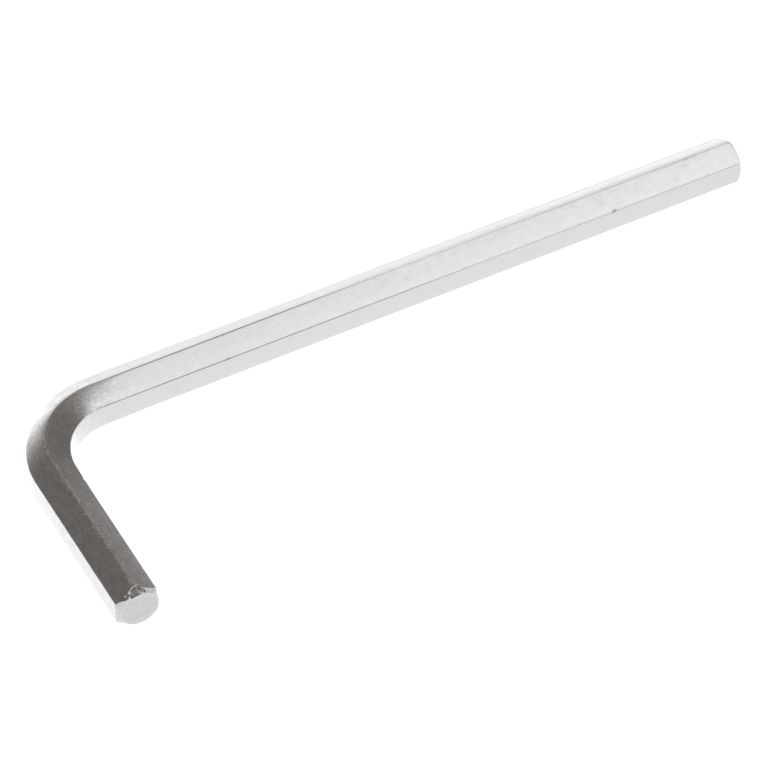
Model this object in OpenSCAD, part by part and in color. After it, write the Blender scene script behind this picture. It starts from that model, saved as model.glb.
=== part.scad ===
// Hex key: one length of drawn hexagonal steel bar, bent once to an L and chamfered at both ends.
// It lies as it comes to rest on a table: the plane of the bend is level, one corner ridge of the
// bar is on top and the opposite ridge touches the table. Two of the bar's flats stand upright,
// on the outer and on the inner side of the bend.
// Millimetres, +Z up, the long arm along +X and the short arm towards -Y. The origin is on the
// table, under the middle of the key's box.

/* [Bar] */
// Width across the flats of the hexagon, the size of socket that the key turns
across_flats = 4; // [2.5:0.1:8]
// Radius that drawing the bar leaves on its six corner ridges
ridge_r = 0.25; // [0.1:0.05:0.6]

/* [Arms] */
// Long arm, from its tip to the outer flat of the short arm
long_arm = 75; // [40:1:200]
// Short arm, from its tip to the outer flat of the long arm
short_arm = 26; // [18:0.5:80]

/* [Bend] */
// Radius of the inner flat round the bend
inner_bend_r = 5.2; // [2:0.1:10]
// How far stretching draws in the outer wall at the middle of the bend
wall_draw = 0.18; // [0.05:0.01:0.3]

/* [Tips] */
// How far the chamfer cuts in across the bar, from the crest of a ridge towards the axis
tip_chamfer = 0.54; // [0.15:0.01:1]
// Angle between the chamfer and the axis of its arm
tip_angle = 50; // [30:5:65]

/* [Hidden] */
$fn = 96;

// Angle at which a rounded surface runs into the flat beside it. Both angles are too small to
// see, and surfaces that cross cut cleaner than surfaces that only touch.
ridge_graze = 4;
wall_graze = 1.5;

// Cutters pass the surfaces that they trim by this much
overshoot = 1;

// Half the bar across its flats, the axis of each ridge's rounding, and the crest of a ridge
half_flats = across_flats / 2;
ridge_axis = (half_flats - ridge_r * cos(ridge_graze)) / cos(30);
ridge_crest = ridge_axis + ridge_r;

// Radii of the bend at the bar's axis and at its outer flat
axis_bend_r = inner_bend_r + half_flats;
outer_bend_r = inner_bend_r + across_flats;

// The drawn-in outer wall is an arc wider than the bend. It leaves both arms' outer flats at
// wall_graze, and lies this far from their sharp corner at the middle of the bend.
wall_gap = outer_bend_r * (sqrt(2) - 1) + wall_draw;
wall_r = wall_gap / (sqrt(2) * cos(wall_graze) - 1);
wall_offset = wall_r * cos(wall_graze);

// Places in plan: the tips, the arms' axes, the middle of the bend and the outer flats' corner
tip_x = long_arm / 2;
tip_y = -short_arm / 2;
short_axis_x = tip_x - long_arm + half_flats;
long_axis_y = tip_y + short_arm - half_flats;
bend_middle = [short_axis_x + axis_bend_r, long_axis_y - axis_bend_r];
outer_corner = [short_axis_x - half_flats, long_axis_y + half_flats];

// Everything outside the rounding of one ridge, for a ridge at angle 0
module ridge_waste() {
    far = ridge_crest + overshoot;
    difference() {
        polygon([
            [ridge_axis, 0],
            [far, -(far - ridge_axis) * tan(30)],
            [far, (far - ridge_axis) * tan(30)]
        ]);
        translate([ridge_axis, 0])
            circle(r = ridge_r);
    }
}

// Section of the bar, with a ridge above and below its axis and upright flats left and right
module bar_section() {
    difference() {
        rotate(30)
            circle(r = half_flats / cos(30), $fn = 6);
        for (i = [0:5])
            rotate(30 + 60 * i)
                ridge_waste();
    }
}

// Straight bar along +X, from the end of the bend to the tip
module long_bar() {
    translate([bend_middle.x, long_axis_y, 0])
        rotate([90, 0, 90])
            linear_extrude(tip_x - bend_middle.x)
                bar_section();
}

// Straight bar along Y, from the tip to the other end of the bend
module short_bar() {
    translate([short_axis_x, tip_y, 0])
        rotate([90, 0, 180])
            linear_extrude(bend_middle.y - tip_y)
                bar_section();
}

// Quarter turn of the bar between the two arms
module bent_bar() {
    translate(bend_middle)
        rotate(90)
            rotate_extrude(angle = 90)
                translate([axis_bend_r, 0])
                    bar_section();
}

// What lies outside the drawn-in outer wall of the bend
module wall_waste() {
    half_height = ridge_crest + overshoot;
    translate([outer_corner.x, outer_corner.y, -half_height])
        linear_extrude(2 * half_height)
            difference() {
                translate([-overshoot, -wall_offset])
                    square([wall_offset + overshoot, wall_offset + overshoot]);
                translate([wall_offset, -wall_offset])
                    circle(r = wall_r);
            }
}

// Ring that the chamfer takes off a tip, for a bar along +Z with its end face at the origin
module tip_waste() {
    face_r = ridge_crest - tip_chamfer;
    rim_r = ridge_crest + overshoot;
    rotate_extrude()
        polygon([
            [face_r - overshoot * tan(tip_angle), overshoot],
            [rim_r, overshoot],
            [rim_r, (face_r - rim_r) / tan(tip_angle)]
        ]);
}

// The key with the axes of both arms at height 0
module bent_key() {
    difference() {
        union() {
            long_bar();
            bent_bar();
            short_bar();
        }
        wall_waste();
        translate([tip_x, long_axis_y, 0])
            rotate([0, 90, 0])
                tip_waste();
        translate([short_axis_x, tip_y, 0])
            rotate([90, 0, 0])
                tip_waste();
    }
}

// The key lifted until its lowest ridge touches the table
module hex_key() {
    color("silver")
        translate([0, 0, ridge_crest])
            bent_key();
}

hex_key();
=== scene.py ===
"""The looks of a hex key: one bright plated hexagon bar, bent once, lying on a white light table.

The bar's mesh is a finer copy of the CAD solid. It adds what drawing, bending and wear leave: flats
that run out softly into their ridges, a bend that swells inwards and pushes its upper and lower
ridges out, rounded edges on both chamfers, the torn rim of the short tip, and nicks. Sizes are in
millimetres, in the row frame, and turn into metres where a mesh, floor or camera is made.
"""

import functools
import math
from collections import namedtuple

import bpy
import numpy as np
from mathutils import Matrix, Vector


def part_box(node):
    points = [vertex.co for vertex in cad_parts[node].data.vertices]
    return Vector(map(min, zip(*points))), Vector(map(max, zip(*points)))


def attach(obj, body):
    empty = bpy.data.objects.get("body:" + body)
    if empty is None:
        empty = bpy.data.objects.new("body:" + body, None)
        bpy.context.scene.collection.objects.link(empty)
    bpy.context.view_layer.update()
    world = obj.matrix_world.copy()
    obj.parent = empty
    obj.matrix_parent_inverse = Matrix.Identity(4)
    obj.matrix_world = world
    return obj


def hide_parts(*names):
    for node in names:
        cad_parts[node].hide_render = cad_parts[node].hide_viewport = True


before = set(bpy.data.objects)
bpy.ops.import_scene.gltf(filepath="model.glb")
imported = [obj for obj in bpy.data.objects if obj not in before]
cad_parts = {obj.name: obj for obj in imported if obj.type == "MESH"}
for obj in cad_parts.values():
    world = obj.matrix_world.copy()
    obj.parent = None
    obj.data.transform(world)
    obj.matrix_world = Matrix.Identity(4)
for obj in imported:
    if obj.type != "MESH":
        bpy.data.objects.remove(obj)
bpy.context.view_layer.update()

MM = 0.001

# The bar, as in the CAD: its width across flats, the rounding of its ridges, and the radius of the
# inner flat round the bend. HALF_TURN is half the turn from one flat to the next
SIDES = 6
ACROSS_FLATS = 4.0
RIDGE_R = 0.25
INNER_BEND_R = 5.2
HALF_FLATS = ACROSS_FLATS / 2
BEND_R = INNER_BEND_R + HALF_FLATS
HALF_TURN = math.pi / SIDES

# How a flat falls away where it runs into a ridge, as (how far, over what length). The two upper
# flats roll off further on the outer side of each, before the ridges at 90 and 150 degrees, and
# before the one at 90 degrees the roll is wider at the long arm's tip
RUN_OUT = (0.003, 0.08)
TOP_ROLL = (0.028, 0.21)
TIP_TOP_ROLL = (0.110, 0.95)
INNER_ROLL = (0.032, 0.75)
# How far the middle of a flat stands proud, and how far a ridge's crest is from the axis
FLAT_CROWN = 0.0015
RIDGE_CREST = (HALF_FLATS - RIDGE_R) / math.cos(HALF_TURN) + RIDGE_R - RUN_OUT[0]

# The outer ridge at 30 degrees and the upper ones at 90 and 150 are sharper than the rest. The
# upper ones are sharpest up to SHARP_FROM from the long arm's tip, and less and less from there to
# ROUND_FROM
OUTER_RIDGE_R = 0.17
UPPER_RIDGE_R = 0.17
SHARP_RIDGE_R = 0.02
SHARP_FROM = 22.0
ROUND_FROM = 52.0

# Bending draws the outer wall in, pushes the upper and lower ridges out, and swells the inner side:
# how far each goes, with the swelling's height as a share, and how far into the arms it starts
WALL_DRAW = 0.18
RIDGE_PUSH = 0.24
BEND_RUN_OUT = 1.2
SWELL_INWARD = 0.12
SWELL_HEIGHT = 0.13
SWELL_RUN_OUT = 5.0

# Each tip: the radius of its flat face, the chamfer's angle to the bar, how far the chamfer's own
# axis lies outwards and upwards of the bar's, and the rounding of the chamfer's rim
Tip = namedtuple("Tip", "face_r angle off_outward off_upward rim_edge")
LONG_TIP = Tip(1.73, math.radians(50), 0.0, 0.0, 0.02)
SHORT_TIP = Tip(1.78, math.radians(54), -0.12, -0.06, 0.07)
# The rounding between a chamfer and its face, and how far the short tip is ground back
FACE_EDGE = 0.05
TIP_GROUND = 0.1

# Fineness of the mesh: steps across a ridge, steps across each flat from the one at 60 degrees on,
# and the distance between rings on the arms and in the bend
RIDGE_STEPS = 8
FLAT_STEPS = (24, 24, 12, 8, 8, 10)
RING_STEP = 0.17
BEND_STEP = 0.11
# The last TIP_BLEND of each arm has rows of its own, closer together towards the rim. Then come
# those across the rim, the cone, the edge of the face and the face
TIP_BLEND = 1.3
BLEND_ROWS = 15
BLEND_POWER = 1.3
RIM_ROWS = 6
CONE_ROWS = 7
EDGE_ROWS = 5
FACE_ROWS = 12

# Places, from the box of the CAD node
low, high = (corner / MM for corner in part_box("hex_key"))
LONG_TIP_X = high.x
SHORT_TIP_Y = low.y + TIP_GROUND
BEND_MIDDLE_X = low.x + HALF_FLATS + BEND_R
BEND_MIDDLE_Y = high.y - HALF_FLATS - BEND_R
AXIS_Z = RIDGE_CREST
LONG_RUN = LONG_TIP_X - BEND_MIDDLE_X
BEND_RUN = BEND_R * math.pi / 2
SHORT_RUN = BEND_MIDDLE_Y - SHORT_TIP_Y
WHOLE_RUN = LONG_RUN + BEND_RUN + SHORT_RUN

# Grinding tore the short tip's rim at its top ridge: how much further than the cone the rim goes,
# by the direction round the section in degrees
TORN_RIM = [
    (-180, 0.05), (-60, 0.0), (-25, 0.12), (0, 0.20), (22, 0.12), (32, 0.02), (38, 0.04),
    (43, 0.01), (50, -0.12), (55, -0.18), (62, -0.20), (67, -0.15), (70, -0.01), (72.7, 0.15),
    (76, 0.21), (79.5, 0.25), (84, 0.27), (90, 0.27), (96, 0.30), (102, 0.34), (108, 0.37),
    (112, 0.38), (118, 0.34), (127, 0.32), (140, 0.30), (150, 0.28), (165, 0.15), (180, 0.05),
]

# The lip that it left beside the chamfer there: its height and width, the curve that it follows, as
# the depth's polynomial in the distance round the bar from the top ridge, and where along that
# distance it rises and falls away
LIP_HEIGHT = 0.03
LIP_WIDTH = 0.06
LIP_CURVE = (0.71, 0.245, -0.09)
LIP_RISE = (-0.85, -0.60)
LIP_FALL = (0.7, 0.1)

# Nicks, dents and crumbs: how far from which tip, the direction round the section, the offset
# across the flat, then length, width and depth, and how dark the dirt in it is
NICKS = [
    ("long", 13.75, 150, -0.03, 0.26, 0.25, 0.035, 0.62),
    ("long", 53.5, 150, 0.0, 0.24, 0.16, 0.02, 0.38),
    ("long", 5.1, 90, 0.05, 0.42, 0.20, 0.0, 0.20),
    ("long", 4.3, 90, 0.05, 0.30, 0.20, 0.0, 0.16),
    ("long", 2.8, 90, 0.05, 0.30, 0.18, 0.0, 0.12),
    ("long", 0.6, 90, 0.0, 0.24, 0.18, 0.0, 0.20),
    ("long", 5.5, 120, -0.54, 0.55, 0.36, 0.006, 0.10),
    ("long", 6.9, 120, 0.35, 0.40, 0.36, 0.006, 0.07),
    ("long", 14.7, 120, -0.18, 0.65, 0.46, 0.005, 0.08),
    ("long", 11.9, 120, -0.30, 0.40, 0.25, 0.004, 0.06),
    ("long", 17.2, 120, -0.74, 0.30, 0.20, 0.004, 0.10),
    ("long", 35.0, 120, 0.10, 0.50, 0.30, 0.004, 0.06),
    ("long", 58.5, 180, 0.35, 0.35, 0.25, 0.005, 0.10),
    ("short", 3.4, 60, -0.15, 0.28, 0.26, 0.030, 0.0),
    ("short", 0.46, 60, 0.45, 0.13, 0.15, -0.045, 0.0),
    ("short", 0.42, 60, -0.06, 0.12, 0.16, -0.025, 0.0),
    ("short", 11.2, 90, 0.1, 0.24, 0.20, 0.05, 0.0),
    ("short", 8.3, 90, 0.1, 0.26, 0.22, 0.06, 0.0),
    ("short", 8.7, 90, 0.0, 0.20, 0.18, 0.04, 0.0),
    ("short", 13.1, 90, 0.0, 0.30, 0.16, 0.03, 0.0),
    ("short", 5.2, 90, 0.1, 0.30, 0.18, 0.03, 0.0),
    ("short", 1.6, 90, 0.0, 0.30, 0.18, 0.03, 0.0),
    ("short", 16.6, 90, 0.0, 0.24, 0.18, 0.04, 0.0),
    ("short", 14.9, 150, 0.0, 0.30, 0.18, 0.04, 0.0),
]
# How sharply a nick, the low lip round it and the dirt in it end, and that lip's share of the depth
NICK_SHARPNESS = 2.5
NICK_LIP_SHARPNESS = 1.0
DIRT_SHARPNESS = 2.0
NICK_LIP = 0.25

# The slow unevenness that drawing leaves: its height, and its waves by number, length and turns
RIPPLE_HEIGHT = 0.006
RIPPLE_SEED = 4
RIPPLE_WAVES = 7
RIPPLE_LENGTHS = (3.5, 14)
RIPPLE_TURNS = (1, 5)


def bar_outline(upper_ridge_r, top_roll):
    """Section of the bar as (outward, upward, normal angle) arrays, once round from the ridge at 30
    degrees. upper_ridge_r is the rounding of the ridges at 90 and 150 degrees, and top_roll the
    roll before the first of them."""
    rolls = {1: top_roll, 2: INNER_ROLL}
    radii = {0: OUTER_RIDGE_R, 1: upper_ridge_r, 2: upper_ridge_r}
    outward, upward, normal = [], [], []

    def add(point, angle):
        outward.append(point[0])
        upward.append(point[1])
        normal.append(angle)

    def unit(angle):
        return np.array([math.cos(angle), math.sin(angle)])

    def rounding(corner):
        """A ridge's radius, the middle of its rounding, and the roll of the flat before it."""
        corner = corner % SIDES
        radius = radii.get(corner, RIDGE_R)
        axis = (HALF_FLATS - radius) / math.cos(HALF_TURN)
        return radius, axis * unit(HALF_TURN * (1 + 2 * corner)), rolls.get(corner, RUN_OUT)

    for corner in range(SIDES):
        ridge = HALF_TURN * (1 + 2 * corner)
        radius, middle, (drop_before, _) = rounding(corner)
        for step in range(RIDGE_STEPS + 1):
            share = step / RIDGE_STEPS
            angle = ridge + HALF_TURN * (2 * share - 1)
            drop = drop_before + (RUN_OUT[0] - drop_before) * share
            add(middle + (radius - drop) * unit(angle), angle)
        # The flat between this ridge and the next, with points closer together beside the ridges
        flat = ridge + HALF_TURN
        next_radius, next_middle, (end_drop, end_length) = rounding(corner + 1)
        start = middle + radius * unit(flat)
        end = next_middle + next_radius * unit(flat)
        width = float(np.linalg.norm(end - start))
        for step in range(1, FLAT_STEPS[corner]):
            share = (1 - math.cos(math.pi * step / FLAT_STEPS[corner])) / 2
            drop = RUN_OUT[0] * math.exp(-width * share / RUN_OUT[1])
            drop += end_drop * math.exp(-width * (1 - share) / end_length)
            crown = FLAT_CROWN * (1 - (2 * share - 1) ** 2)
            add(start + (end - start) * share + (crown - drop) * unit(flat), flat)
    return np.array(outward), np.array(upward), np.array(normal)


def bump_window(along, run_out):
    """Rises from 0 to 1 at the middle of the bend and back, starting run_out into each arm."""
    window = (along - LONG_RUN + run_out) / (BEND_RUN + 2 * run_out)
    return np.where((window > 0) & (window < 1), (1 - np.cos(2 * math.pi * window)) / 2, 0)


def place(along, outward, upward):
    """Row-frame places of points by how far along, outwards and upwards on the straight bar."""
    turn = np.clip((along - LONG_RUN) / BEND_R, 0, math.pi / 2)
    ahead = np.maximum(LONG_RUN - along, 0)
    past = np.maximum(along - LONG_RUN - BEND_RUN, 0)
    side = outward / HALF_FLATS
    inner = np.maximum(-side, 0)
    push = RIDGE_PUSH * (1 - side ** 2) - WALL_DRAW * ((1 + side) / 2) ** 2
    swell = bump_window(along, SWELL_RUN_OUT) * inner
    reach = BEND_R + outward + bump_window(along, BEND_RUN_OUT) * push - SWELL_INWARD * swell
    x = BEND_MIDDLE_X + ahead - reach * np.sin(turn)
    y = BEND_MIDDLE_Y - past + reach * np.cos(turn)
    return np.stack([x, y, AXIS_Z + upward * (1 + SWELL_HEIGHT * swell)], axis=-1)


def tip_rows(radius, tip, torn):
    """Rows from the bar to the middle of a tip's face, as (depth from the tip, radius, share of
    turned face). radius is the bar's own there, and torn is how much further than the cone the rim
    goes."""
    rim = (radius - tip.face_r) / math.tan(tip.angle) + torn
    cone_depth, cone_radius = math.cos(tip.angle), math.sin(tip.angle)
    rows = []
    blend_start = rim + tip.rim_edge
    for share in (np.linspace(1, 0, BLEND_ROWS) ** BLEND_POWER)[:-1]:
        rows.append((blend_start + (TIP_BLEND - blend_start) * share, radius, 0.0))
    for share in np.linspace(0, 1, RIM_ROWS):
        depth = rim + tip.rim_edge * ((1 - share) ** 2 - share ** 2 * cone_depth)
        rows.append((depth, radius - tip.rim_edge * share ** 2 * cone_radius, float(share)))
    last_depth, last_radius = rows[-1][:2]
    face_depth, face_radius = FACE_EDGE * cone_depth, tip.face_r + FACE_EDGE * cone_radius
    for share in np.linspace(0, 1, CONE_ROWS)[1:-1]:
        rows.append((last_depth + (face_depth - last_depth) * share,
                     last_radius + (face_radius - last_radius) * share, 1.0))
    for share in np.linspace(0, 1, EDGE_ROWS):
        rest = (1 - share) ** 2
        rows.append((FACE_EDGE * rest * cone_depth,
                     tip.face_r + FACE_EDGE * (rest * cone_radius - share ** 2), 1.0))
    for share in np.linspace(1, 0, FACE_ROWS)[1:-1]:
        rows.append((0.0, (tip.face_r - FACE_EDGE) * share, 1.0))
    return rows


def tip_on_bar(tip, outward, upward, torn):
    """Rows of a tip on a bar of that section, as (depth from the tip, outward, upward, share of
    turned face)."""
    outward, upward = outward - tip.off_outward, upward - tip.off_upward
    radius = np.hypot(outward, upward)
    rows = []
    for depth, row_radius, turned in tip_rows(radius, tip, torn):
        scale = row_radius / radius
        rows.append((np.full_like(radius, depth), tip.off_outward + outward * scale,
                     tip.off_upward + upward * scale, turned))
    return rows


def bar_rows(outward, upward, sharp_outward, sharp_upward):
    """Rows of the whole bar from the long tip to the short one, as (along, outward, upward, share
    of turned face). The section given first is the bend's, and the sharp one the long tip's."""
    rows = tip_on_bar(LONG_TIP, sharp_outward, sharp_upward, 0.0)[::-1]
    stations = np.concatenate([
        np.arange(TIP_BLEND + RING_STEP, LONG_RUN - BEND_RUN_OUT, RING_STEP),
        np.arange(LONG_RUN - BEND_RUN_OUT, LONG_RUN + BEND_RUN + BEND_RUN_OUT, BEND_STEP),
        np.arange(LONG_RUN + BEND_RUN + BEND_RUN_OUT, WHOLE_RUN - TIP_BLEND - RING_STEP / 2,
                  RING_STEP),
    ])
    for along in stations:
        share = np.clip((ROUND_FROM - along) / (ROUND_FROM - SHARP_FROM), 0, 1)
        share = share * share * (3 - 2 * share)
        rows.append((np.full_like(outward, along), outward + (sharp_outward - outward) * share,
                     upward + (sharp_upward - upward) * share, 0.0))
    torn = np.interp(np.degrees(np.arctan2(upward, outward)), *zip(*TORN_RIM))
    for depth, tip_outward, tip_upward, turned in tip_on_bar(SHORT_TIP, outward, upward, torn):
        rows.append((WHOLE_RUN - depth, tip_outward, tip_upward, turned))
    return rows


def lip_height(along, outward, upward):
    """How far the ground lip stands out at points of the straight bar."""
    around = RIDGE_CREST * (np.arctan2(upward, outward) - math.pi / 2)
    middle = LIP_CURVE[0] + LIP_CURVE[1] * around + LIP_CURVE[2] * around ** 2
    window = 1.0
    for start, end in (LIP_RISE, LIP_FALL):
        window = window * np.clip((around - start) / (end - start), 0, 1)
    return LIP_HEIGHT * window * np.exp(-((WHOLE_RUN - along - middle) / LIP_WIDTH) ** 2)


def nicks(along, outward, upward):
    """How deep the nicks are at points of the straight bar, and how dark. Each has a low lip."""
    depth, stain = np.zeros_like(along), np.zeros_like(along)
    for tip, distance, direction, across, length, width, deep, dirt in NICKS:
        angle = math.radians(direction)
        on_ridge = direction % 60 == 30
        far = RIDGE_CREST if on_ridge else HALF_FLATS
        middle = (
            distance if tip == "long" else WHOLE_RUN - distance,
            far * math.cos(angle) - across * math.sin(angle),
            far * math.sin(angle) + across * math.cos(angle),
        )
        off = ((along - middle[0]) / length) ** 2
        off = off + ((outward - middle[1]) ** 2 + (upward - middle[2]) ** 2) / width ** 2
        depth += deep * ((1 + NICK_LIP) * np.exp(-NICK_SHARPNESS * off)
                         - NICK_LIP * np.exp(-NICK_LIP_SHARPNESS * off))
        stain = np.maximum(stain, dirt * np.exp(-DIRT_SHARPNESS * off))
    return depth, stain


def ripple(along, around):
    """Slow unevenness along the bar, within about one, as a sum of long waves."""
    random = np.random.default_rng(RIPPLE_SEED)
    total = np.zeros_like(along)
    for _ in range(RIPPLE_WAVES):
        length = random.uniform(*RIPPLE_LENGTHS)
        turns = random.integers(*RIPPLE_TURNS)
        phase, twist = random.uniform(0, 2 * math.pi, 2)
        total += np.sin(2 * math.pi * along / length + phase) * np.cos(turns * around + twist)
    return total / RIPPLE_WAVES


def key_mesh():
    """Builds the whole bar as rings from tip to tip, and keeps where each point was on the straight
    bar, how much it belongs to a turned face, and how dark its dirt is."""
    outward, upward, normal = bar_outline(UPPER_RIDGE_R, TOP_ROLL)
    sharp_outward, sharp_upward, _ = bar_outline(SHARP_RIDGE_R, TIP_TOP_ROLL)
    rows = bar_rows(outward, upward, sharp_outward, sharp_upward)
    count = len(outward)

    along, out, up = (np.array([row[i] for row in rows]) for i in range(3))
    turned = np.array([np.full(count, row[3]) for row in rows])
    nick_depth, stain = nicks(along, out, up)
    unevenness = RIPPLE_HEIGHT * ripple(along, np.arctan2(upward, outward))
    sink = (nick_depth - unevenness - lip_height(along, out, up)) * (1 - turned)
    points = place(along, out - sink * np.cos(normal), up - sink * np.sin(normal)).reshape(-1, 3)

    ring = np.arange(count)
    beside = (ring + 1) % count
    faces = []
    for row in range(len(rows) - 1):
        here, there = row * count, (row + 1) * count
        faces.append(np.stack([here + ring, there + ring, there + beside, here + beside], axis=1))
    quads = np.concatenate(faces)

    # One point closes each end face
    ends = place(np.array([0.0, WHOLE_RUN]), np.zeros(2), np.zeros(2))
    start, end = len(points), len(points) + 1
    last = (len(rows) - 1) * count
    fans = [(start, int(i), int(j)) for i, j in zip(ring, beside)]
    fans += [(end, int(last + j), int(last + i)) for i, j in zip(ring, beside)]

    mesh = bpy.data.meshes.new("bar")
    mesh.from_pydata((np.concatenate([points, ends]) * MM).tolist(), [], quads.tolist() + fans)
    mesh.polygons.foreach_set("use_smooth", np.ones(len(mesh.polygons), bool))
    straight = np.stack([along, out, up], axis=-1).reshape(-1, 3)
    straight = np.concatenate([straight, [[0, 0, 0], [WHOLE_RUN, 0, 0]]])
    bar_place = mesh.attributes.new("bar_place", "FLOAT_VECTOR", "POINT")
    bar_place.data.foreach_set("vector", straight.ravel())
    for name, values, at_ends in (("turned", turned, 1), ("stain", stain, 0)):
        values = np.concatenate([values.ravel(), [at_ends, at_ends]])
        mesh.attributes.new(name, "FLOAT", "POINT").data.foreach_set("value", values)
    mesh.validate()
    mesh.update()
    return mesh


# The share of its width over which a mark made by Nodes.near is full
NEAR_CORE = 0.3


class Nodes:
    """Short calls that add shader nodes to one tree and join them."""

    def __init__(self, tree):
        self.tree = tree
        tree.nodes.clear()

    def put(self, socket, value):
        """Joins value to the socket if it is one too, and sets it there if it is plain."""
        if isinstance(value, bpy.types.NodeSocket):
            self.tree.links.new(value, socket)
        else:
            socket.default_value = value

    def add(self, kind, inputs=None, **settings):
        node = self.tree.nodes.new(kind)
        for name, value in settings.items():
            setattr(node, name, value)
        for name, value in (inputs or {}).items():
            self.put(node.inputs[name], value)
        return node

    def math(self, operation, a, b=0.0, clamp=False):
        return self.add("ShaderNodeMath", {0: a, 1: b}, operation=operation,
                        use_clamp=clamp).outputs[0]

    def product(self, *values):
        return functools.reduce(lambda a, b: self.math("MULTIPLY", a, b), values)

    def total(self, *values):
        return functools.reduce(lambda a, b: self.math("ADD", a, b), values)

    def largest(self, *values):
        return functools.reduce(lambda a, b: self.math("MAXIMUM", a, b), values)

    def weighted(self, *terms):
        """The sum of terms, each a value and its weight."""
        return self.total(*(self.math("MULTIPLY", value, weight) for value, weight in terms))

    def length(self, a, b):
        """The length of the vector (a, b)."""
        return self.math("SQRT", self.weighted((a, a), (b, b)))

    def ramp(self, value, start, end, before=0.0, after=1.0):
        """value's smooth step from start to end, either of which may be the larger, as a number
        from before to after."""
        inputs = {"Value": value, "From Min": start, "From Max": end, "To Min": before,
                  "To Max": after}
        node = self.add("ShaderNodeMapRange", inputs, interpolation_type="SMOOTHSTEP")
        return node.outputs["Result"]

    def near(self, value, middle, width):
        """1 where value is close to middle, and 0 where it is more than width away."""
        away = self.math("ABSOLUTE", self.math("SUBTRACT", value, middle))
        return self.ramp(away, width, NEAR_CORE * width)

    def scaled(self, vector, scale):
        node = self.add("ShaderNodeVectorMath", {0: vector, 1: scale}, operation="MULTIPLY")
        return node.outputs[0]

    def dot(self, vector, direction):
        node = self.add("ShaderNodeVectorMath", {0: vector, 1: direction}, operation="DOT_PRODUCT")
        return node.outputs["Value"]

    def noise(self, vector, scale, detail=2.0, roughness=0.5):
        """Noise about 0, from -0.5 to 0.5 at most, at places vector times scale."""
        inputs = {"Vector": self.scaled(vector, scale), "Scale": 1.0, "Detail": detail,
                  "Roughness": roughness}
        return self.math("SUBTRACT", self.add("ShaderNodeTexNoise", inputs).outputs[0], 0.5)

    def blend(self, share, a, b):
        """The colour a where share is 0 and b where it is 1."""
        node = self.add("ShaderNodeMix", {0: share}, data_type="RGBA")
        self.put(node.inputs[6], a)
        self.put(node.inputs[7], b)
        return node.outputs[2]


# The noise patterns on the bar: scales along, outwards and upwards, in cycles per millimetre, then
# octaves and how much each keeps of the one before
LINES = ((0.10, 8.0, 8.0), 4.0, 0.62)
GROOVES = ((0.045, 2.6, 2.6), 2.0, 0.5)
PEEL = ((2.3, 3.0, 3.0), 3.0, 0.6)
GRIT = ((5.5, 5.5, 5.5), 3.0, 0.65)
CLOUDS = ((0.9, 1.5, 1.5), 4.0, 0.6)
PITS = ((5.5, 6.5, 6.5), 1.0, 0.5)
LIP_BREAKS = ((7.0, 7.0, 7.0), 2.0, 0.5)
SPECKS = ((3.6, 4.0, 4.0), 3.0, 0.7)
# On the tips, by radius and place along, and by direction and place along
TURNING = ((11.0, 3.0, 0.0), 3.0, 0.6)
CHATTER = ((13.0, 0.35, 0.0), 3.0, 0.6)

# Soft steps along the bar, from its long tip, as (start, end) or (start, end, value before, value
# after): where the bend's texture comes and goes, where the long arm is rubbed duller, and where
# pits, blotches and the top ridge's specks begin
INTO_BEND = (LONG_RUN - 4.0, LONG_RUN + 2.5)
OUT_OF_BEND = (LONG_RUN + BEND_RUN - 2.5, LONG_RUN + BEND_RUN + 3.0, 1.0, 0.0)
RUBBED = (LONG_RUN - 8.0, 4.0)
PITTED = (LONG_RUN - 4.0, LONG_RUN, 0.15, 1.0)
BLOTCHED = (LONG_RUN - 4.0, LONG_RUN + 2.0)
SPECKED = (LONG_RUN + 6.0, LONG_RUN + 9.0)
# The same kind of steps in other measures: which noise makes a pit, which radius is the chamfer,
# and how far out a worn crest starts, from where along the bar, and on which side
PIT_NOISE = (0.22, 0.29)
CHAMFER_RADIUS = (LONG_TIP.face_r - 0.05, LONG_TIP.face_r + 0.05)
WORN_RADIUS = (2.205, 2.285)
WORN_ALONG = (ROUND_FROM, 10.0)
WORN_OUTWARD = (1.0, 0.7)

# Heights of the relief, in steps of RELIEF_STEP. Peel and grit have one on the arms and one in the
# bend, and less on the inner upright flat, which is smoother than the others
RELIEF_STEP = 0.004
LINES_RELIEF = 0.10
GROOVES_RELIEF = 0.25
PEEL_RELIEF = (0.7, 1.2)
GRIT_RELIEF = (0.3, 0.7)
PITS_RELIEF = -0.8
INNER_FLAT_RELIEF = (-1.985, -1.92, 0.1, 1.0)
TURNING_RELIEF = 0.7
CHATTER_RELIEF = 2.2
TIP_PEEL_RELIEF = 1.2

# Marks on the torn rim. A fan is a pair of directions in degrees, with how soft it is at each: the
# torn metal, a painted highlight streak across it, and a painted highlight on the chamfer beside it
TORN_FAN = (69.5, 103.5, 2, 1.5)
STREAK_FAN = (107.2, 109.2, 2, 2)
STREAK_GAIN = 1.1
BRIGHT_FAN = (115, 143, 1.5, 14)
# They start at the face's edge, are broken up by chatter, and fade with depth. Faint painted
# highlight streaks lie on the torn metal too
FACE_DEPTH = (0.0, 0.04)
STREAK_CHATTER = (-0.12, 0.12, 0.85, 1.0)
STREAK_DEPTH = (0.90, 0.50, 0.45, 1.0)
FAINT_CHATTER = (0.03, 0.14)
FAINT_GAIN = 0.12
# The painted highlight on the lip: half its width, the middle and half the length of it, and its
# breaks
LIP_BRIGHT_WIDTH = 0.075
LIP_BRIGHT_AROUND = (-0.32, 0.75)
LIP_BREAK_NOISE = (-0.20, 0.12)
# Painted highlights on two crumbs, as (depth, distance round the bar from the top ridge, size), and
# the gain of the second one
FIRST_CRUMB = (0.46, -0.70, 0.17)
SECOND_CRUMB = (0.40, -1.19, 0.19)
SECOND_CRUMB_GAIN = 0.75
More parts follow.
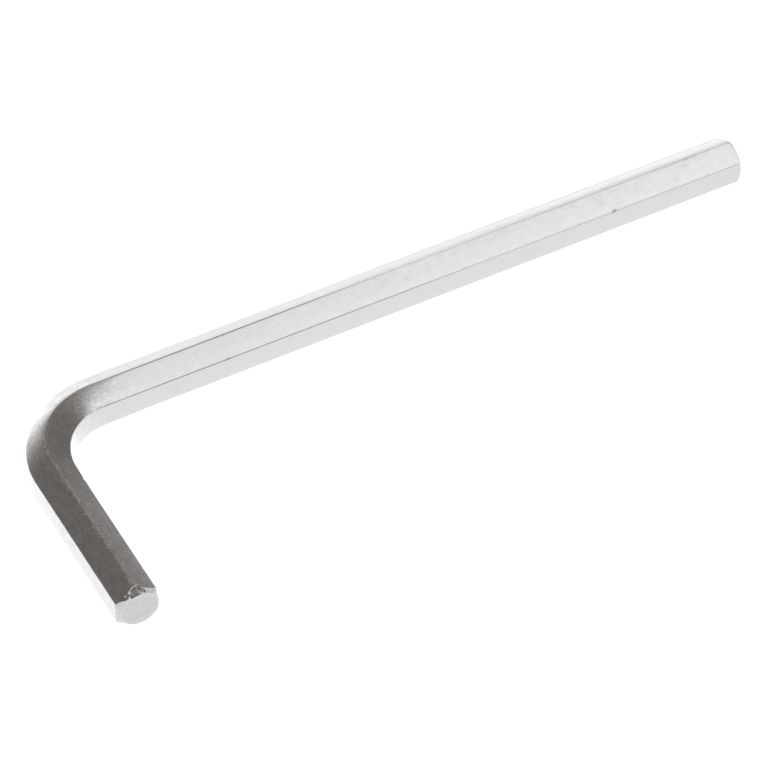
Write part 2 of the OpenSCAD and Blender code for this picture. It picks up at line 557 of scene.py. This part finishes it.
# Painted highlight specks on the short arm's top ridge: how far out and round they reach, their
# noise
SPECKS_RADIUS = (2.12, 2.22)
SPECKS_AROUND = (0.10, 0.75)
SPECKS_NOISE = (-0.03, 0.22, 0.0, 0.75)

# Roughness of clean plating, and what each thing adds to it
PLAIN_ROUGH = 0.18
RUBBED_ROUGH = 0.02
CLOUDS_ROUGH = 0.08
STAIN_ROUGH = 0.25
TURNED_ROUGH = 0.04
PITS_ROUGH = 0.15
BENT_ROUGH = 0.05
WORN_ROUGH = 0.07
BRIGHT_ROUGH = 0.50

# Colours of the metal. Clean and dull plating lie in patches on the long arm, light and dark
# blotches in the bend and on the short arm, and two tones of turned steel on the tips
CLEAN = (0.645, 0.645, 0.645, 1)
DULL = (0.605, 0.605, 0.605, 1)
BLOTCH_LIGHT = (0.74, 0.735, 0.73, 1)
BLOTCH_DARK = (0.53, 0.53, 0.53, 1)
TURNED_LIGHT = (0.575, 0.575, 0.578, 1)
TURNED_DARK = (0.505, 0.505, 0.508, 1)
WORN_STEEL = (0.55, 0.55, 0.55, 1)
TORN_DARK = (0.125, 0.118, 0.115, 1)
TORN_LIGHT = (0.36, 0.345, 0.335, 1)
# Near-white for the highlights painted on the torn rim, the lip, the crumbs and the ridge specks
HIGHLIGHT_WHITE = (0.99, 0.985, 0.98, 1)
# Lighter colour for the highlight painted on the edge of the short tip's face
EDGE_HIGHLIGHT = (0.60, 0.60, 0.602, 1)
# Paler colour painted as light on the inner side of each chamfer
INNER_CHAMFER_LIGHT = (0.68, 0.68, 0.682, 1)
PIT_DARK = (0.33, 0.31, 0.29, 1)
DIRT = (0.05, 0.045, 0.04, 1)
# How strongly worn steel, torn steel and pits show
WORN_SHARE = 0.5
TORN_SHARE = 0.92
PIT_SHARE = 0.25

# The speckle that lays out the patches: its parts, less of it on the inner flat, and its soft steps
# on the bar and on the tips
SPECKLE_CLOUDS = 0.6
SPECKLE_PEEL = 0.5
SPECKLE_GRIT = 0.9
INNER_FLAT_SPECKLE = (-1.99, -1.93, 0.35, 1.0)
SPECKLE_STEP = (-0.25, 0.25)
TURNED_SPECKLE_STEP = (-0.20, 0.20)
# Where torn metal turns from dark to light, in degrees, and the painted highlight on the edge of
# the short tip's face: how far inside the face's radius, how wide, over what depth, and in which
# clouds
TORN_LIGHT_FROM = (95, 101)
EDGE_HIGHLIGHT_INSIDE = 0.03
EDGE_HIGHLIGHT_WIDTH = 0.14
EDGE_HIGHLIGHT_DEPTH = (0.3, 0.2)
EDGE_HIGHLIGHT_CLOUDS = (-0.15, 0.15, 0.3, 1.0)
# The inner side of each chamfer is painted paler, as painted light
INNER_CHAMFER_LIGHT_OUTWARD = (-1.70, -1.86, 0.0, 0.8)


class BarNodes(Nodes):
    """Nodes for the bar's material, with the place of each point on the straight bar and the
    patterns that several parts of the material share."""

    def __init__(self, tree):
        super().__init__(tree)
        self.where = self.attribute("bar_place", "Vector")
        self.turned = self.attribute("turned", "Fac")
        self.stain = self.attribute("stain", "Fac")
        self.drawn = self.math("SUBTRACT", 1.0, self.turned)
        split = self.add("ShaderNodeSeparateXYZ", {0: self.where})
        self.along, self.outward, self.upward = split.outputs
        self.radius = self.length(self.outward, self.upward)
        self.angle = self.math("ARCTAN2", self.upward, self.outward)
        # Depth from the short tip, and distance round the bar from its top ridge
        self.depth = self.math("SUBTRACT", WHOLE_RUN, self.along)
        self.around = self.product(self.math("SUBTRACT", self.angle, math.pi / 2), RIDGE_CREST)

        # 1 in the middle of the bend, falling to 0 a little way into each arm
        self.bent = self.product(self.ramp(self.along, *INTO_BEND),
                                 self.ramp(self.along, *OUT_OF_BEND))
        self.peel = self.noise(self.where, *PEEL)
        self.grit = self.noise(self.where, *GRIT)
        self.clouds = self.noise(self.where, *CLOUDS)
        # Pits are common in the bend and on the short arm only
        self.pits = self.product(self.ramp(self.noise(self.where, *PITS), *PIT_NOISE),
                                 self.ramp(self.along, *PITTED))
        by_direction = self.add("ShaderNodeCombineXYZ", {0: self.angle, 1: self.along}).outputs[0]
        self.chatter = self.noise(by_direction, *CHATTER)
        # The crests of the long arm's ridges are worn towards its tip
        self.worn = self.product(self.ramp(self.radius, *WORN_RADIUS),
                                 self.ramp(self.along, *WORN_ALONG),
                                 self.ramp(self.outward, *WORN_OUTWARD), self.drawn)

    def attribute(self, name, output):
        return self.add("ShaderNodeAttribute", attribute_name=name).outputs[output]

    def spot(self, depth, around, size):
        return self.product(self.near(self.depth, depth, size),
                            self.near(self.around, around, size))

    def fan(self, first, last, soft_first, soft_last):
        """1 between two directions in degrees, on turned faces only."""
        rising = (math.radians(first - soft_first), math.radians(first + soft_first))
        falling = (math.radians(last + soft_last), math.radians(last - soft_last))
        return self.product(self.ramp(self.angle, *rising), self.ramp(self.angle, *falling),
                            self.turned)


def relief(bar):
    """Height of the fine relief: drawing lines, peel, grit and pits on the bar, and on the tips the
    turned grooves, and the cutter's chatter across the chamfer."""
    drawing = bar.weighted((bar.noise(bar.where, *LINES), LINES_RELIEF),
                           (bar.noise(bar.where, *GROOVES), GROOVES_RELIEF))
    drawing = bar.product(drawing, bar.math("SUBTRACT", 1.0, bar.bent))
    smoother = bar.ramp(bar.outward, *INNER_FLAT_RELIEF)
    peel = bar.product(bar.peel, bar.ramp(bar.bent, 0.0, 1.0, *PEEL_RELIEF), smoother)
    grit = bar.product(bar.grit, bar.ramp(bar.bent, 0.0, 1.0, *GRIT_RELIEF), smoother)
    on_bar = bar.total(drawing, peel, grit, bar.product(bar.pits, PITS_RELIEF))

    by_radius = bar.add("ShaderNodeCombineXYZ", {0: bar.radius, 1: bar.along}).outputs[0]
    chatter = bar.product(bar.chatter, bar.ramp(bar.radius, *CHAMFER_RADIUS))
    on_tips = bar.weighted((bar.noise(by_radius, *TURNING), TURNING_RELIEF),
                           (chatter, CHATTER_RELIEF), (bar.peel, TIP_PEEL_RELIEF))
    return bar.weighted((on_bar, bar.drawn), (on_tips, bar.turned))


def torn_metal_and_highlights(bar):
    """Where the short tip's rim is torn and dark, and where highlights are painted near-white: in
    streaks on the rim, on the lip and the crumbs beside it, and in specks along the short arm's top
    ridge."""
    from_face = bar.ramp(bar.depth, *FACE_DEPTH)
    torn = bar.product(bar.fan(*TORN_FAN), from_face)
    streaks = bar.largest(bar.product(bar.fan(*STREAK_FAN), STREAK_GAIN), bar.fan(*BRIGHT_FAN))
    streaks = bar.product(streaks, bar.ramp(bar.chatter, *STREAK_CHATTER),
                          bar.ramp(bar.depth, *STREAK_DEPTH), from_face)
    faint = bar.product(torn, bar.ramp(bar.chatter, *FAINT_CHATTER), FAINT_GAIN)

    slope = bar.total(LIP_CURVE[1], bar.product(bar.around, LIP_CURVE[2]))
    curve = bar.total(LIP_CURVE[0], bar.product(bar.around, slope))
    lip = bar.product(bar.near(bar.depth, curve, LIP_BRIGHT_WIDTH),
                      bar.near(bar.around, *LIP_BRIGHT_AROUND),
                      bar.ramp(bar.noise(bar.where, *LIP_BREAKS), *LIP_BREAK_NOISE))
    crumbs = bar.largest(bar.spot(*FIRST_CRUMB),
                         bar.product(bar.spot(*SECOND_CRUMB), SECOND_CRUMB_GAIN))

    specks = bar.product(bar.ramp(bar.noise(bar.where, *SPECKS), *SPECKS_NOISE),
                         bar.ramp(bar.radius, *SPECKS_RADIUS),
                         bar.near(bar.around, *SPECKS_AROUND), bar.ramp(bar.along, *SPECKED))
    return torn, bar.largest(lip, crumbs, streaks, faint, specks)


def roughness(bar, highlights):
    rough = bar.total(PLAIN_ROUGH, bar.weighted(
        (bar.ramp(bar.along, *RUBBED), RUBBED_ROUGH), (bar.clouds, CLOUDS_ROUGH),
        (bar.stain, STAIN_ROUGH), (bar.turned, TURNED_ROUGH), (bar.pits, PITS_ROUGH),
        (bar.bent, BENT_ROUGH), (bar.worn, WORN_ROUGH)))
    return bar.math("ADD", rough, bar.product(highlights, BRIGHT_ROUGH), clamp=True)


def metal_colour(bar, torn, highlights):
    speckle = bar.weighted((bar.clouds, SPECKLE_CLOUDS), (bar.peel, SPECKLE_PEEL),
                           (bar.grit, SPECKLE_GRIT))
    speckle = bar.product(speckle, bar.ramp(bar.outward, *INNER_FLAT_SPECKLE))
    patches = bar.ramp(speckle, *SPECKLE_STEP)
    colour = bar.blend(bar.ramp(bar.along, *BLOTCHED), bar.blend(patches, CLEAN, DULL),
                       bar.blend(patches, BLOTCH_LIGHT, BLOTCH_DARK))
    colour = bar.blend(bar.product(bar.worn, WORN_SHARE), colour, WORN_STEEL)
    turned_steel = bar.blend(bar.ramp(speckle, *TURNED_SPECKLE_STEP), TURNED_LIGHT, TURNED_DARK)
    colour = bar.blend(bar.turned, colour, turned_steel)

    light_from = (math.radians(direction) for direction in TORN_LIGHT_FROM)
    torn_steel = bar.blend(bar.ramp(bar.angle, *light_from), TORN_DARK, TORN_LIGHT)
    colour = bar.blend(bar.product(torn, TORN_SHARE), colour, torn_steel)
    # Painted highlights: near-white on the torn rim, the lip, the crumbs and the top ridge's specks
    colour = bar.blend(highlights, colour, HIGHLIGHT_WHITE)
    # A highlight is painted here and there on the edge of the short tip's face
    face_radius = bar.length(bar.math("SUBTRACT", bar.outward, SHORT_TIP.off_outward),
                             bar.math("SUBTRACT", bar.upward, SHORT_TIP.off_upward))
    edge_highlight = bar.near(face_radius, SHORT_TIP.face_r - EDGE_HIGHLIGHT_INSIDE, EDGE_HIGHLIGHT_WIDTH)
    edge_highlight = bar.product(edge_highlight, bar.ramp(bar.depth, *EDGE_HIGHLIGHT_DEPTH),
                         bar.ramp(bar.clouds, *EDGE_HIGHLIGHT_CLOUDS), bar.math("SUBTRACT", 1.0, torn))
    colour = bar.blend(edge_highlight, colour, EDGE_HIGHLIGHT)
    # Painted light: the inner side of each chamfer is paler
    inner_chamfer_light = bar.product(bar.ramp(bar.outward, *INNER_CHAMFER_LIGHT_OUTWARD), bar.turned)
    colour = bar.blend(inner_chamfer_light, colour, INNER_CHAMFER_LIGHT)
    colour = bar.blend(bar.product(bar.pits, PIT_SHARE), colour, PIT_DARK)
    return bar.blend(bar.stain, colour, DIRT)


def plated_steel():
    """Bright plating over drawn bar, torn on the short tip's rim and worn on the long ridges, with
    highlights and paler light painted into its colour on the tips and the short arm's top ridge.
    """
    material = bpy.data.materials.new("plated_steel_fine")
    material.use_nodes = True
    bar = BarNodes(material.node_tree)
    bump = bar.add("ShaderNodeBump", {
        "Height": relief(bar), "Distance": RELIEF_STEP * MM, "Strength": 1.0})
    torn, highlights = torn_metal_and_highlights(bar)
    shader = bar.add("ShaderNodeBsdfPrincipled", {
        "Base Color": metal_colour(bar, torn, highlights), "Metallic": 1.0,
        "Roughness": roughness(bar, highlights), "Normal": bump.outputs[0]})
    bar.add("ShaderNodeOutputMaterial", {"Surface": shader.outputs[0]})
    return material


def make_key():
    key = bpy.data.objects.new("hex_key_bar", key_mesh())
    bpy.context.scene.collection.objects.link(key)
    key.data.materials.append(plated_steel())
    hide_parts("hex_key")
    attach(key, "root")


# The table: half its side, its surface, the colour and strength of its glow, and how uneven that
# is, with the mottle's scale in cycles per metre. The zones below glow more, in steps of ZONE_GLOW.
# No shadow shows on the table, and the zones only show as reflections in the key's outer flats
TABLE_HALF = 1600.0
TABLE_COLOUR = (0.8, 0.8, 0.8, 1)
TABLE_ROUGH = 0.6
TABLE_LIGHT = (0.985, 0.987, 1.0, 1)
TABLE_GLOW = 0.80
MOTTLE_GLOW = 0.02
MOTTLE = ((14.0, 14.0, 14.0), 3.0)
ZONE_GLOW = 0.30
# Each edge of a zone is (start, end) in millimetres, and where given the steps before and after it:
# a zone behind the long arm, one further back behind the bend, and one to the left of the key
ARM_ZONE_NEAR = (25, 32)
ARM_ZONE_FAR = (56, 30)
ARM_ZONE_ACROSS = (-10, 45, 0.49, 1.80)
BEND_ZONE_NEAR = (36, 42)
BEND_ZONE_FAR = (66, 50)
BEND_ZONE_ACROSS = (-17, -23, 0.0, 2.3)
LEFT_ZONE_RIGHT = (-27, -36)
LEFT_ZONE_NEAR = (-13.5, -12.5)
LEFT_ZONE_ACROSS = (-38.0, -36.5, 0.32, 1.25)
LEFT_ZONE_BACK = (-2, 6, 0.0, 0.22)


def light_table():
    """A white floor that glows from below."""
    half = TABLE_HALF * MM
    mesh = bpy.data.meshes.new("light_table")
    corners = [(-half, -half, 0), (half, -half, 0), (half, half, 0), (-half, half, 0)]
    mesh.from_pydata(corners, [], [(0, 1, 2, 3)])
    floor = bpy.data.objects.new("light_table", mesh)
    bpy.context.scene.collection.objects.link(floor)
    material = bpy.data.materials.new("white_acrylic")
    material.use_nodes = True
    nodes = Nodes(material.node_tree)
    where = nodes.add("ShaderNodeNewGeometry").outputs["Position"]
    across, back, _ = nodes.add("ShaderNodeSeparateXYZ", {0: where}).outputs

    def edge(value, ends):
        start, end, *steps = ends
        return nodes.ramp(value, start * MM, end * MM, *steps)

    arm_zone = nodes.product(edge(back, ARM_ZONE_NEAR), edge(back, ARM_ZONE_FAR),
                             edge(across, ARM_ZONE_ACROSS))
    bend_zone = nodes.product(edge(back, BEND_ZONE_NEAR), edge(back, BEND_ZONE_FAR),
                              edge(across, BEND_ZONE_ACROSS))
    left_zone = nodes.product(
        edge(across, LEFT_ZONE_RIGHT), edge(back, LEFT_ZONE_NEAR),
        nodes.total(edge(across, LEFT_ZONE_ACROSS), edge(back, LEFT_ZONE_BACK)))
    zones = nodes.largest(arm_zone, left_zone, bend_zone)
    glow = nodes.total(TABLE_GLOW, nodes.weighted(
        (zones, ZONE_GLOW), (nodes.noise(where, *MOTTLE), MOTTLE_GLOW)))
    shader = nodes.add("ShaderNodeBsdfPrincipled", {
        "Base Color": TABLE_COLOUR, "Roughness": TABLE_ROUGH, "Specular IOR Level": 0.0,
        "Emission Color": TABLE_LIGHT, "Emission Strength": glow})
    nodes.add("ShaderNodeOutputMaterial", {"Surface": shader.outputs[0]})
    mesh.materials.append(material)


# The studio round the table, by the direction in which it lies from the key. The softbox overhead
# ends at SOFTBOX_FAR away from the camera, at SOFTBOX_NEAR towards it, and at SOFTBOX_LEFT and
# SOFTBOX_RIGHT. It is brighter on its right and towards the camera
LAMP_COLOUR = (0.985, 0.99, 1.0, 1)
SOFTBOX_GLOW = 1.00
SOFTBOX_FAR = 0.245
SOFTBOX_NEAR = 0.67
SOFTBOX_LEFT = -0.68
SOFTBOX_RIGHT = 0.75
SOFTBOX_EDGE = 0.03
SOFTBOX_SKEW = 0.15
SOFTBOX_ACROSS = (0.22, 0.46, 0.98, 1.22)
SOFTBOX_TOWARDS = (0.35, 0.47, 1.0, 1.08)

ROOM_COLOUR = (1.0, 0.925, 0.87, 1)
ROOM_GLOW = 0.19
# The lit backdrop low round the table and the brighter horizon, by height, and the side where both
# are missing, less so along the horizon
BACKDROP_GLOW = 0.80
BACKDROP_HEIGHT = (0.46, 0.0)
HORIZON_GLOW = 0.17
HORIZON_HEIGHT = (0.15, -0.05)
DARK_CORNER = Vector((0.80, 0.60, 0.0)).normalized()
DARK_CORNER_EDGE = (0.72, 0.95)
DARK_CORNER_HEIGHT = (0.16, 0.04, 0.13, 0.36)
# A pale ceiling beyond the table, and the place low behind the camera where the room is darkest.
# Each is soft between two angles from its middle, in degrees
CEILING = Vector((0.32, 0.62, 0.72)).normalized()
CEILING_GLOW = 0.12
CEILING_ANGLES = (35, 8)
DARK_FRONT = Vector((0.05, -0.88, 0.42)).normalized()
DARK_FRONT_ANGLES = (27, 13)
DARK_FRONT_GLOW = 0.25
# What the camera sees past the table
PLAIN_WHITE = (1, 1, 1, 1)
PLAIN_GLOW = 1.2


def studio():
    """A big softbox overhead in a dim room, with the lit backdrop low round the table. What the
    camera sees past the table is plain white."""
    world = bpy.data.worlds.new("studio")
    bpy.context.scene.world = world
    world.use_nodes = True
    nodes = Nodes(world.node_tree)
    direction = nodes.add("ShaderNodeTexCoord").outputs["Generated"]
    across, _, height = nodes.add("ShaderNodeSeparateXYZ", {0: direction}).outputs

    def within(value, edge, inwards):
        """1 on the side of the edge that inwards points to, and 0 on the other."""
        return nodes.ramp(value, edge - inwards * SOFTBOX_EDGE, edge + inwards * SOFTBOX_EDGE)

    def cone(axis, angles, *levels):
        """Soft step between two angles from the axis, in degrees, from one level to another."""
        edges = (math.cos(math.radians(angle)) for angle in angles)
        return nodes.ramp(nodes.dot(direction, tuple(axis)), *edges, *levels)

    towards = nodes.dot(direction, (SOFTBOX_SKEW, -1.0, 0.0))
    softbox = nodes.product(
        within(towards, SOFTBOX_FAR, 1),
        within(nodes.dot(direction, (0.0, -1.0, 0.0)), SOFTBOX_NEAR, -1),
        within(across, SOFTBOX_LEFT, 1), within(across, SOFTBOX_RIGHT, -1),
        nodes.ramp(across, *SOFTBOX_ACROSS), nodes.ramp(towards, *SOFTBOX_TOWARDS))
    low = nodes.weighted((nodes.ramp(height, *BACKDROP_HEIGHT), BACKDROP_GLOW),
                         (nodes.ramp(height, *HORIZON_HEIGHT), HORIZON_GLOW))
    low = nodes.product(low, nodes.ramp(nodes.dot(direction, tuple(DARK_CORNER)), *DARK_CORNER_EDGE,
                                        1.0, nodes.ramp(height, *DARK_CORNER_HEIGHT)))
    front = cone(DARK_FRONT, DARK_FRONT_ANGLES, 1.0, DARK_FRONT_GLOW)
    white = nodes.product(nodes.total(nodes.product(softbox, SOFTBOX_GLOW), low), front)
    ceiling = nodes.product(cone(CEILING, CEILING_ANGLES), CEILING_GLOW)
    warm = nodes.product(nodes.total(ROOM_GLOW, ceiling), front)
    lamps = nodes.add("ShaderNodeBackground", {"Color": LAMP_COLOUR, "Strength": white})
    room = nodes.add("ShaderNodeBackground", {"Color": ROOM_COLOUR, "Strength": warm})
    lit = nodes.add("ShaderNodeAddShader", {0: lamps.outputs[0], 1: room.outputs[0]})
    plain = nodes.add("ShaderNodeBackground", {"Color": PLAIN_WHITE, "Strength": PLAIN_GLOW})
    seen = nodes.add("ShaderNodeLightPath").outputs["Is Camera Ray"]
    mixed = nodes.add("ShaderNodeMixShader", {0: seen, 1: lit.outputs[0], 2: plain.outputs[0]})
    nodes.add("ShaderNodeOutputWorld", {"Surface": mixed.outputs[0]})


# The camera: its turn from +Y towards +X, its tilt down and its roll, in degrees, its distance from
# the point that it looks at, in millimetres, and its lens on a 36 mm frame
CAMERA_TURN = 27.38
CAMERA_TILT = 46.13
CAMERA_ROLL = -0.77
CAMERA_DISTANCE = 421.34
CAMERA_AIM = Vector((-4.70, 0.80, 2.27))
CAMERA_LENS = 222.6
CAMERA_CLIP_START = 10.0
SENSOR = 36.0
# Half a pixel of the photograph at the key, in millimetres
HALF_PIXEL = 0.0445


def make_camera():
    turn, tilt, roll = (math.radians(a) for a in (CAMERA_TURN, CAMERA_TILT, CAMERA_ROLL))
    forward = Vector((math.cos(tilt) * math.sin(turn), math.cos(tilt) * math.cos(turn),
                      -math.sin(tilt)))
    level = Vector((math.cos(turn), -math.sin(turn), 0))
    upright = level.cross(forward)
    right = math.cos(roll) * level + math.sin(roll) * upright
    up = math.cos(roll) * upright - math.sin(roll) * level
    data = bpy.data.cameras.new("camera")
    data.sensor_width = SENSOR
    data.lens = CAMERA_LENS
    data.clip_start = CAMERA_CLIP_START * MM
    camera = bpy.data.objects.new("camera", data)
    bpy.context.scene.collection.objects.link(camera)
    turned = Matrix((right, up, -forward)).transposed().to_4x4()
    aim = CAMERA_AIM + HALF_PIXEL * (up - right)
    camera.matrix_world = Matrix.Translation((aim - CAMERA_DISTANCE * forward) * MM) @ turned
    bpy.context.scene.camera = camera


make_key()
light_table()
studio()
make_camera()
bpy.context.scene.view_settings.view_transform = "Standard"
